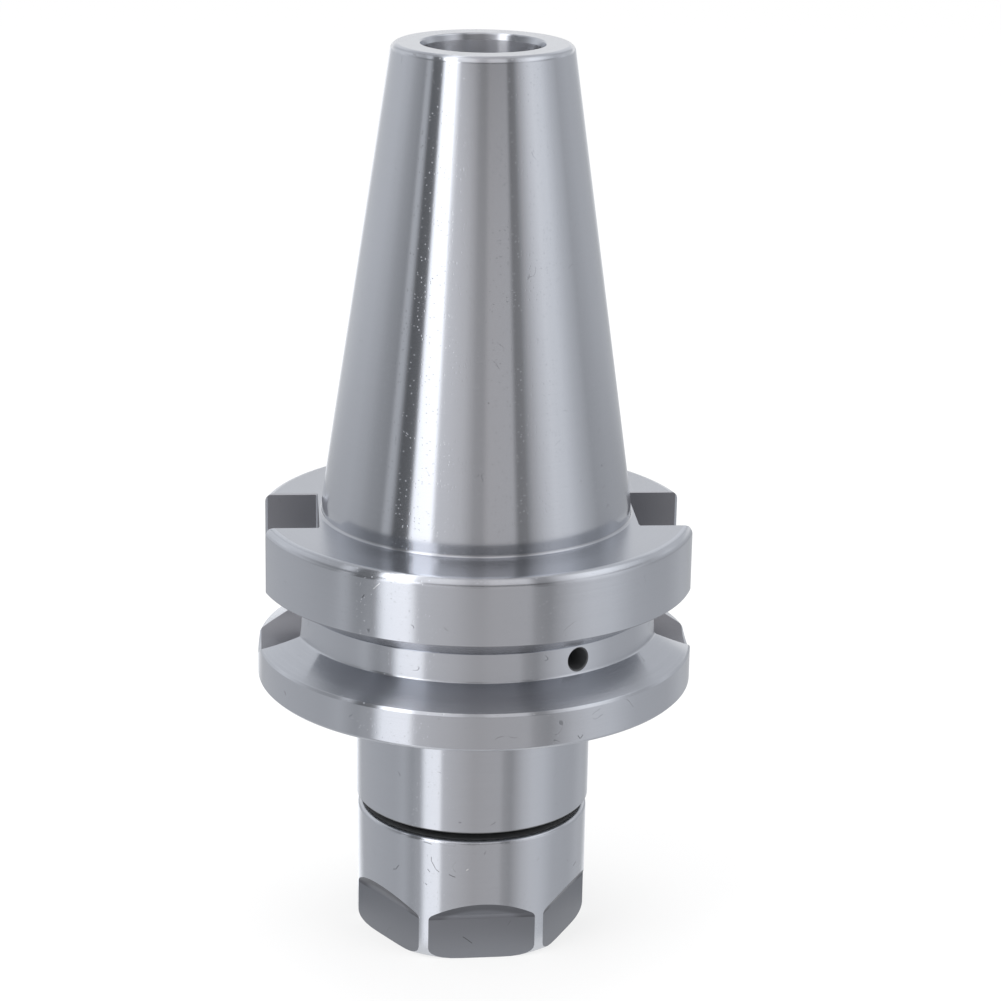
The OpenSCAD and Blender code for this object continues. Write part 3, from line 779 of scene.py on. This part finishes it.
def holderOutline():
    h = holder
    rounds = h["rounds"]
    topEnd, through, stud = h["taperLength"], h["throughRadius"], h["studRadius"]
    smallRadius = h["gaugeRadius"] - topEnd * h["taperSlope"]
    chamferRadius = smallRadius + h["topChamfer"] * h["taperSlope"]
    flangeTop = -h["collar"]
    flangeLow = flangeTop - h["flangeHeight"]
    high = -h["grooveDrop"] + h["grooveMouth"] / 2
    low = high - h["grooveMouth"]
    lean = math.tan(math.radians(h["grooveSlope"]))
    grooveFloor = h["flangeRadius"] - h["grooveDepth"]
    rim, edge = h["flangeRadius"], h["grooveEdge"]
    noseEnd = -h["noseDrop"]
    spigotEnd = noseEnd - h["spigotLength"]
    reliefEnd = noseEnd - h["reliefLength"]
    relief = h["rootRadius"] - h["reliefDepth"]
    socketTop = spigotEnd + h["socketDepth"]
    socketTopRadius = h["socketMouth"] - h["socketDepth"] * math.tan(math.radians(h["socketAngle"]))
    drill = math.tan(math.radians(h["drillAngle"]))
    pilotEnd = topEnd - h["pilotDepth"]
    studEnd = pilotEnd - h["studLength"]
    return rounded([
        (h["pilotRadius"] + h["pilotWidening"], topEnd, rounds["mouth"], "lapped"),
        (smallRadius - h["topChamfer"], topEnd, rounds["top"], "lapped"),
        (chamferRadius, topEnd - h["topChamfer"], rounds["top"], "ground"),
        (h["gaugeRadius"], 0, rounds["gauge"], "ground"),
        (h["gaugeRadius"], flangeTop, rounds["collar"], "flangeTop"),
        (rim - h["topEdge"], flangeTop, rounds["rim"], "turned"),
        (rim, flangeTop - h["topEdge"], rounds["rim"], "turned"),
        # The groove's upper edge and flank get the darker finish, which is painted shade
        (rim, high + edge / 3, 0, "undercutShade"),
        (rim - edge / 3, high - edge / 3 * lean, 0, "undercutShade"),
        (grooveFloor, high - h["grooveDepth"] * lean, rounds["grooveFloor"], "turned"),
        (grooveFloor, low + h["grooveDepth"] * lean, rounds["grooveFloor"], "faced"),
        (rim - edge, low + edge * lean, rounds["grooveEdge"], "turned"),
        (rim, low - edge, rounds["lowLand"], "turned"),
        (rim, flangeLow + h["lowEdge"], rounds["low"], "turned"),
        (rim - h["lowEdge"], flangeLow, rounds["low"], "faced"),
        (h["noseRadius"] + h["noseRoot"], flangeLow, rounds["low"], "turned"),
        (h["noseRadius"], flangeLow - h["noseRoot"], rounds["low"], "turned"),
        # The nose's end and its thread relief get the dark finish, which is painted shade in the gap to the
        # nut
        (h["noseRadius"], noseEnd, rounds["nose"], "dark"),
        (relief, noseEnd, rounds["relief"], "dark"),
        (relief, reliefEnd + h["reliefDepth"], 0, "dark"),
        (h["rootRadius"], reliefEnd, 0, "thread"),
        (h["rootRadius"], spigotEnd + h["spigotChamfer"], 0, "thread"),
        (h["rootRadius"] - h["spigotChamfer"], spigotEnd, 0, "faced"),
        (h["socketMouth"], spigotEnd, rounds["socket"], "bore"),
        (socketTopRadius, socketTop, 0, "bore"),
        (through, socketTop + (socketTopRadius - through) / drill, 0, "bore"),
        (through, studEnd - (stud - through) / drill, 0, "bore"),
        (stud, studEnd, 0, "bore"),
        (stud, pilotEnd - h["studBevel"], 0, "bore"),
        (stud + h["studBevel"], pilotEnd, 0, "bore"),
        (h["pilotRadius"], pilotEnd, 0, "bore"),
        (h["pilotRadius"], topEnd - h["pilotLead"], 0, "lapped"),
    ])


# Cutters: closed solids in millimetres, made from stacked rings

def ringSolid(name, rings, look="milled", faceLooks=None):  # faceLooks: where the faces' finishes differ
    n = len(rings[0])
    points = [Vector(point) * mm for ring in rings for point in ring]
    faces = bands(len(rings), n)
    faces.append(tuple(reversed(range(n))))
    faces.append(tuple(range((len(rings) - 1) * n, len(rings) * n)))
    thing = meshObject(name, points, faces)
    shape = bmesh.new()
    shape.from_mesh(thing.data)
    bmesh.ops.recalc_face_normals(shape, faces=shape.faces)
    shape.to_mesh(thing.data)
    shape.free()
    kinds = sorted({look, *(faceLooks or [])})
    for kind in kinds:
        thing.data.materials.append(finish[kind])
    for polygon, own in zip(thing.data.polygons, faceLooks or [look] * len(faces)):
        polygon.material_index = kinds.index(own)
    return thing


def cut(body, cutter, operation="DIFFERENCE"):
    modifier = body.modifiers.new("cut", "BOOLEAN")
    modifier.operation = operation
    modifier.object = cutter
    modifier.solver = "MANIFOLD"
    modifier.material_mode = "TRANSFER"
    settle(body)
    bpy.data.objects.remove(cutter)


cutters = {
    "past": 1.0,  # how far a cutter stands out of the steel
    "slotPast": 3.0,
    "overlap": 0.02,  # the edge cutters start inside the slot, so that no two faces coincide
    "barPast": 0.3,  # a bevel's bar: how far its ends pass the bevel, and its thickness
    "barThick": 1.2,
    "barAbove": (0.9, 1.3),  # how far the upright bars reach over the round's centre and the flange's top
    "barBeside": (0.12, 0.3),  # how far the level bars keep from the slot cutter's two ends
    "lipPast": 0.01,
    "tip": 0.02,  # radius at the drill point's end
}


def slotOutline(inset):  # seen along X: one wall from its top, the round lower end and the other wall
    half = holder["slotWidth"] / 2
    centre = half - holder["slotDrop"]
    top = cutters["past"] - holder["collar"]
    arc = []
    for i in range(holder["slotFacets"] + 1):
        angle = math.pi * i / holder["slotFacets"]
        arc.append((half * math.cos(angle), centre - half * math.sin(angle)))
    points = [(half, top), *arc, (-half, top)]
    shrink = (half - inset) / half
    return [(y * shrink, centre + (z - centre) * shrink if z < centre else z) for y, z in points]


def bevelBar(size):  # the section of the bar that breaks an edge: how far outwards and into the wall
    past, thick = cutters["barPast"], cutters["barThick"]
    return [(-size - past, -past), (past, size + past), (past + thick, size + past - thick),
            (thick - size - past, -past - thick)]


def slotCutter(side):
    h = holder
    half, edge, root = h["slotWidth"] / 2, h["slotEdge"], h["slotRoot"]
    centre = half - h["slotDrop"]
    top, rim = -h["collar"], h["flangeRadius"]
    floor, far = h["slotFloor"], rim + cutters["slotPast"]
    stops = ((floor, root), (floor + root, 0), (far, 0))
    rings = [[(x, y, z) for y, z in slotOutline(inset)] for x, inset in stops]
    sides = len(rings[0])
    slot = ringSolid("slot_cutter", rings, faceLooks=["lapped"] * sides + ["milled"] * (sides + 2))

    overlap, past = cutters["overlap"], cutters["past"]
    cone = [[(x, radius * math.cos(angle), centre + radius * math.sin(angle))
             for angle in fullTurn(2 * h["slotFacets"])]
            for x, radius in ((rim - edge - overlap, half - overlap), (rim + past, half + edge + past))]
    cut(slot, ringSolid("edge_cutter", cone, "lapped"), "UNION")

    rimCorner = math.sqrt(rim ** 2 - half ** 2)
    heights = (centre + cutters["barAbove"][0], top + cutters["barAbove"][1])
    reaches = (floor + cutters["barBeside"][0], far - cutters["barBeside"][1])
    for wall in (-1, 1):
        upright = [[(rimCorner + out, wall * (half + into), z) for out, into in bevelBar(edge)]
                   for z in heights]
        level = [[(x, wall * (half + into), top + out) for out, into in bevelBar(h["slotTopEdge"])]
                 for x in reaches]
        cut(slot, ringSolid("edge_cutter", upright, "lapped"), "UNION")
        cut(slot, ringSolid("edge_cutter", level, "lapped"), "UNION")
    slot.data.transform(Matrix.Rotation(math.radians(side), 4, "Z"))
    return slot


def markerCutter():
    h = holder
    wall = h["flangeRadius"] - h["grooveDepth"]
    radius, chamfer = h["markerRadius"], h["markerChamfer"]
    end = wall - h["markerDepth"]
    point = radius / math.tan(math.radians(h["drillAngle"]))
    stops = [(wall + cutters["past"], radius + 2 * chamfer), (wall + chamfer, radius + 2 * chamfer),
             (wall - chamfer, radius), (end, radius), (end - point, cutters["tip"])]
    rings = [[(x, -size * math.sin(angle), size * math.cos(angle) - h["grooveDrop"])
              for angle in fullTurn(h["markerFacets"])] for x, size in stops]
    # The marker hole's walls get the dark finish, which is painted shade
    cutter = ringSolid("marker_cutter", rings, "dark")
    cutter.data.transform(Matrix.Rotation(math.radians(h["markerAngle"]), 4, "Z"))
    return cutter


# The finishes of faces that go round the axis
lathed = ("ground", "turned", "faced", "flangeTop", "undercutShade", "lapped", "bore", "thread")


def smoothAround(body):
    # Cuts leave long thin faces, so the corners of turned faces get the direction that turning gives them
    mesh = body.data
    mesh.set_sharp_from_angle(angle=math.radians(turning["sharp"]))
    steels = [finish[look] for look in lathed]
    turnedSlots = {i for i, material in enumerate(mesh.materials) if material in steels}
    normals = [Vector(corner.vector) for corner in mesh.corner_normals]
    for polygon in mesh.polygons:
        sideways = polygon.normal.xy
        outwards = polygon.center.xy.normalized().dot(sideways)
        flatFace = abs(outwards) < turning["level"]
        aslant = abs(outwards) < turning["straight"] * sideways.length  # a cut's face, which isn't turned
        if polygon.material_index not in turnedSlots or flatFace or aslant:
            continue
        for loop in polygon.loop_indices:
            normal = normals[loop]
            reach = math.copysign(normal.xy.length, outwards)
            away = mesh.vertices[mesh.loops[loop].vertex_index].co.xy.normalized()
            normals[loop] = Vector((away.x * reach, away.y * reach, normal.z))
    mesh.normals_split_custom_set(normals)


def turnedBody(name, outline, finishes):
    return swept(name, outline, finishes, **{"Steps per turn": turning["steps"], "Turns": 1.0})


def addHolder():
    finishes = ["ground", "turned", "faced", "flangeTop", "undercutShade", "lapped", "thread", "bore", "dark"]
    body = turnedBody("holder_steel", holderOutline(), finishes)
    for side in (0, 180):
        cut(body, slotCutter(side))
    cut(body, markerCutter())
    smoothAround(body)
    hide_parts("holder_body")
    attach(body, "holder")
    return body


def nutOutline():
    n = nut
    inner = n["lipRadius"] - n["lipOffset"]
    return rounded([
        # The rear face and the thread's lead get the dark finish, which is painted shade in the gap to the
        # nose
        (n["threadRadius"] + n["threadLead"], n["rear"], n["round"], "dark"),
        (n["radius"], n["rear"], n["rearEdge"], "turned"),
        (n["radius"], n["front"], n["frontEdge"], "faced"),
        (n["mouthRadius"] + n["mouthChamfer"], n["front"], n["round"], "faced"),
        (n["mouthRadius"], n["front"] + n["mouthChamfer"], n["round"], "bore"),
        (n["mouthRadius"], n["mouthTop"], 0, "bore"),
        (n["seatRadius"], n["lipLow"], 0, "bore"),
        (inner, n["lipLow"], 0, "bore"),
        (inner, n["lipHigh"], 0, "bore"),
        (n["cavityRadius"], n["lipHigh"], 0, "bore"),
        (n["cavityRadius"], n["threadEnd"], 0, "bore"),
        (n["threadRadius"], n["threadEnd"], 0, "thread"),
        (n["threadRadius"], n["rear"] - n["threadLead"], 0, "dark"),
    ])


def flatCutter(angle):
    n = nut
    flat = n["acrossFlats"] / 2
    top = n["front"] + n["flatHeight"]
    low = n["front"] - cutters["past"]
    slope = math.radians(n["runOut"])
    radius = n["runOutRadius"]
    centre = (flat + radius, top - radius * math.tan(slope / 2))
    arc = []
    for i in range(n["runOutFacets"] + 1):
        swing = slope * i / n["runOutFacets"]
        arc.append((centre[0] - radius * math.cos(swing), centre[1] + radius * math.sin(swing)))
    reach = n["radius"] - flat + cutters["past"]
    side = [(flat, low), *arc, (flat + reach, top + reach / math.tan(slope)), (flat + reach, low)]
    rings = [[(x, y, z) for x, z in side] for y in (-n["radius"], n["radius"])]
    # The run-outs' faces get the darker finish, which is painted shade
    kinds = ["flat"] + ["runout"] * (len(side) - 1) + ["flat"] * 2
    cutter = ringSolid("flat_cutter", rings, faceLooks=kinds)
    cutter.data.transform(Matrix.Rotation(math.radians(angle), 4, "Z"))
    return cutter


def lipCutter():
    n = nut
    heights = (n["lipLow"] - cutters["lipPast"], n["lipHigh"] + cutters["lipPast"])
    rings = [[(n["lipOffset"] + n["lipRadius"] * math.cos(angle), n["lipRadius"] * math.sin(angle), z)
              for angle in fullTurn(n["lipFacets"])] for z in heights]
    return ringSolid("lip_cutter", rings)


def addNut():
    body = turnedBody("nut_steel", nutOutline(), ["turned", "faced", "thread", "bore", "dark"])
    cut(body, lipCutter())
    for i in range(nut["flats"]):
        cut(body, flatCutter(nut["flatAngle"] + 360 * i / nut["flats"]))
    smoothAround(body)
    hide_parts("clamping_nut")
    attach(body, "nut")
    return body


holderSteel = addHolder()
print("holder is turned and milled:", len(holderSteel.data.polygons), "faces")
nutSteel = addNut()
print("nut is turned and milled:", len(nutSteel.data.polygons), "faces")


# Millimetres: inner and outer give a ridge's radius and half its width there, and the phase is in turns
threads = {
    "nose_thread": {"body": "holder", "slot": "ground_steel",
                    "inner": (11.48, 0.62), "outer": (12.45, 0.094), "root": 11.4,
                    "from": -58.3, "to": -48.2, "pitch": 1.5, "phase": 0.0},
    "nut_thread": {"body": "nut", "slot": "nut_steel",
                   "inner": (11.65, 0.094), "outer": (12.65, 0.62), "root": 12.75,
                   "from": -58.5, "to": -47.2, "pitch": 1.5, "phase": 0.5},
    "stud_thread": {"body": "holder", "slot": "ground_steel",
                    "inner": (6.95, 0.13), "outer": (8.1, 0.8), "root": 8.2,
                    "from": 34.0, "to": 56.6, "pitch": 2.0, "phase": 0.0},
}
coil = {"steps": 96, "runOut": 0.4}  # steps per turn, and the turns in which a ridge fades at its ends


def addThread(name, thread):
    (inner, innerHalf), (outer, outerHalf) = thread["inner"], thread["outer"]
    ridge = [(inner, innerHalf, "thread"), (outer, outerHalf, "thread"), (outer, -outerHalf, "thread"),
             (inner, -innerHalf, "thread")]
    pitch = thread["pitch"]
    # Both threads of a pair start at whole turns, half a rise apart, so that they run between each other
    shift = thread["phase"] * pitch
    start = math.ceil((thread["from"] - shift) / pitch) * pitch + shift
    body = swept(name, ridge, ["thread"], **{
        "Steps per turn": coil["steps"], "Turns": (thread["to"] - start) / pitch,
        "Rise per turn": pitch * mm, "Start height": start * mm, "Run-out turns": coil["runOut"],
        "Root radius": thread["root"] * mm})
    body.data.set_sharp_from_angle(angle=math.radians(turning["sharp"]))
    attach(body, thread["body"])


for name, thread in threads.items():
    addThread(name, thread)
print("threads are cut")

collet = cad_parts["collet"]
for i in range(len(collet.data.materials)):
    collet.data.materials[i] = finish["collet"]
print("collet has its finish")

addCamera()
addWorld()
addFloor()
addScreen()
for name, lamp in lamps.items():
    addLamp(name, lamp)
bpy.context.scene.view_settings.view_transform = "Standard"
print("studio is set")
